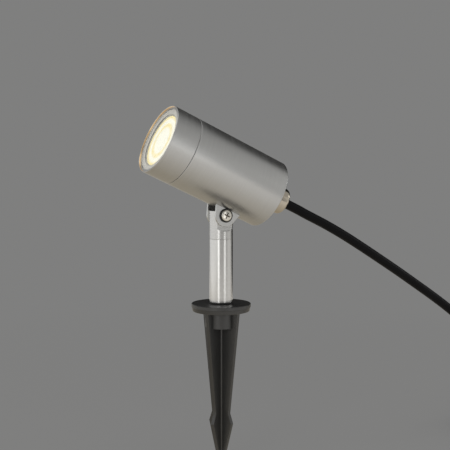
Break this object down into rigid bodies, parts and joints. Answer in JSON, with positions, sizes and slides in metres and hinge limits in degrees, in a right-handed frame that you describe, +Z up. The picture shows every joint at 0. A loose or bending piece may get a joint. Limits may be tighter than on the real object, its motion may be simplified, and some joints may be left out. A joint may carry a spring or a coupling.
{
  "type": "garden spike spotlight",
  "caption": "Cylindrical steel spotlight head that tilts on a short pole over a black ground spike, with a screw-on glass bezel, a twist-lock lamp, a cable gland and a mains lead.",
  "frame": {"origin": "the pole's axis at the ground line, the underside of the ground spike's round flange", "axes": "+Z up along the pole, the head's front points to -Y and up, the mains lead leaves towards +Y, +X is the pivot screw's head side"},
  "size_m": [0.0605, 0.6327, 0.3132],
  "materials": {
    "spike_plastic": "fine moulded grain",
    "brass_insert": "machined",
    "polished_steel": "polished",
    "turned_steel": "turned",
    "seal_rubber": "matt",
    "cord_rubber": "matt",
    "tie_plastic": "matt",
    "plug_rubber": "fine moulded grain",
    "nickel_pins": "bright",
    "brushed_head": "brushed round its axis",
    "screw_steel": "bright",
    "dark_washer": "matt",
    "gland_metal": "satin nickel",
    "wire_sleeve": "satin",
    "block_plastic": "satin",
    "strip_steel": "plain sheet",
    "ceramic": "unglazed ceramic",
    "glass_sleeve": "braided sleeve",
    "earth_sleeve": "satin",
    "lamp_white": "satin",
    "lamp_face": "glowing",
    "front_glass": "clear",
    "silicone": "satin"
  },
  "bodies": {
    "spike": {"ground_spike": "spike_plastic", "spike_insert": "brass_insert"},
    "pole": {"pole_tube": "polished_steel", "pole_foot": "turned_steel", "foot_washer": "seal_rubber", "knuckle": "turned_steel", "supply_cord": "cord_rubber", "cord_hank": "cord_rubber", "cord_tail": "cord_rubber", "cord_tie": "tie_plastic", "plug_body": "plug_rubber", "plug_pins": "nickel_pins"},
    "head": {"housing": "brushed_head", "pivot_ears": "turned_steel", "pivot_screw": "screw_steel", "screw_washer": "dark_washer", "nut_washer": "screw_steel", "pivot_nut": "screw_steel", "neck_ring": "seal_rubber", "gland_body": "gland_metal", "gland_dome": "gland_metal", "gland_seal": "seal_rubber", "gland_ring": "seal_rubber", "gland_locknut": "gland_metal", "cord_entry": "cord_rubber", "core_wires": "wire_sleeve", "terminal_block": "block_plastic", "terminal_screws": "brass_insert", "holder_bracket": "strip_steel", "lamp_holder": "ceramic", "holder_screws": "screw_steel", "holder_leads": "glass_sleeve", "earth_lead": "earth_sleeve", "earth_screw": "brass_insert"},
    "lamp": {"lamp_shell": "lamp_white", "lamp_lens": "lamp_face", "lamp_pins": "nickel_pins"},
    "lens_pack": {"front_glass": "front_glass", "glass_gasket": "silicone"},
    "bezel": {"bezel": "brushed_head"}
  },
  "joints": [
    {"name": "pole_swivel", "type": "hinge", "parent": "spike", "child": "pole", "pos_m": [0, 0, 0.0065], "axis": [0, 0, 1], "range_deg": [-180, 180]},
    {"name": "head_tilt", "type": "hinge", "parent": "pole", "child": "head", "pos_m": [0, 0, 0.082], "axis": [-1, 0, 0], "range_deg": [-25, 35], "deforming": ["supply_cord"]},
    {"name": "lamp_twist", "type": "hinge", "parent": "head", "child": "lamp", "pos_m": [0, 0.01437, 0.11281], "axis": [0, -0.9063, 0.4226], "range_deg": [0, 40]},
    {"name": "lens_slide", "type": "slide", "parent": "head", "child": "lens_pack", "axis": [0, -0.9063, 0.4226], "range_m": [0, 0.0075]},
    {"name": "bezel_turn", "type": "hinge", "parent": "lens_pack", "child": "bezel", "pos_m": [0, 0.01437, 0.11281], "axis": [0, -0.9063, 0.4226], "range_deg": [0, 1800]}
  ],
  "couplings": [
    {"joint": "lens_slide", "follows": "bezel_turn", "m_per_rad": 0.00023873}
  ]
}
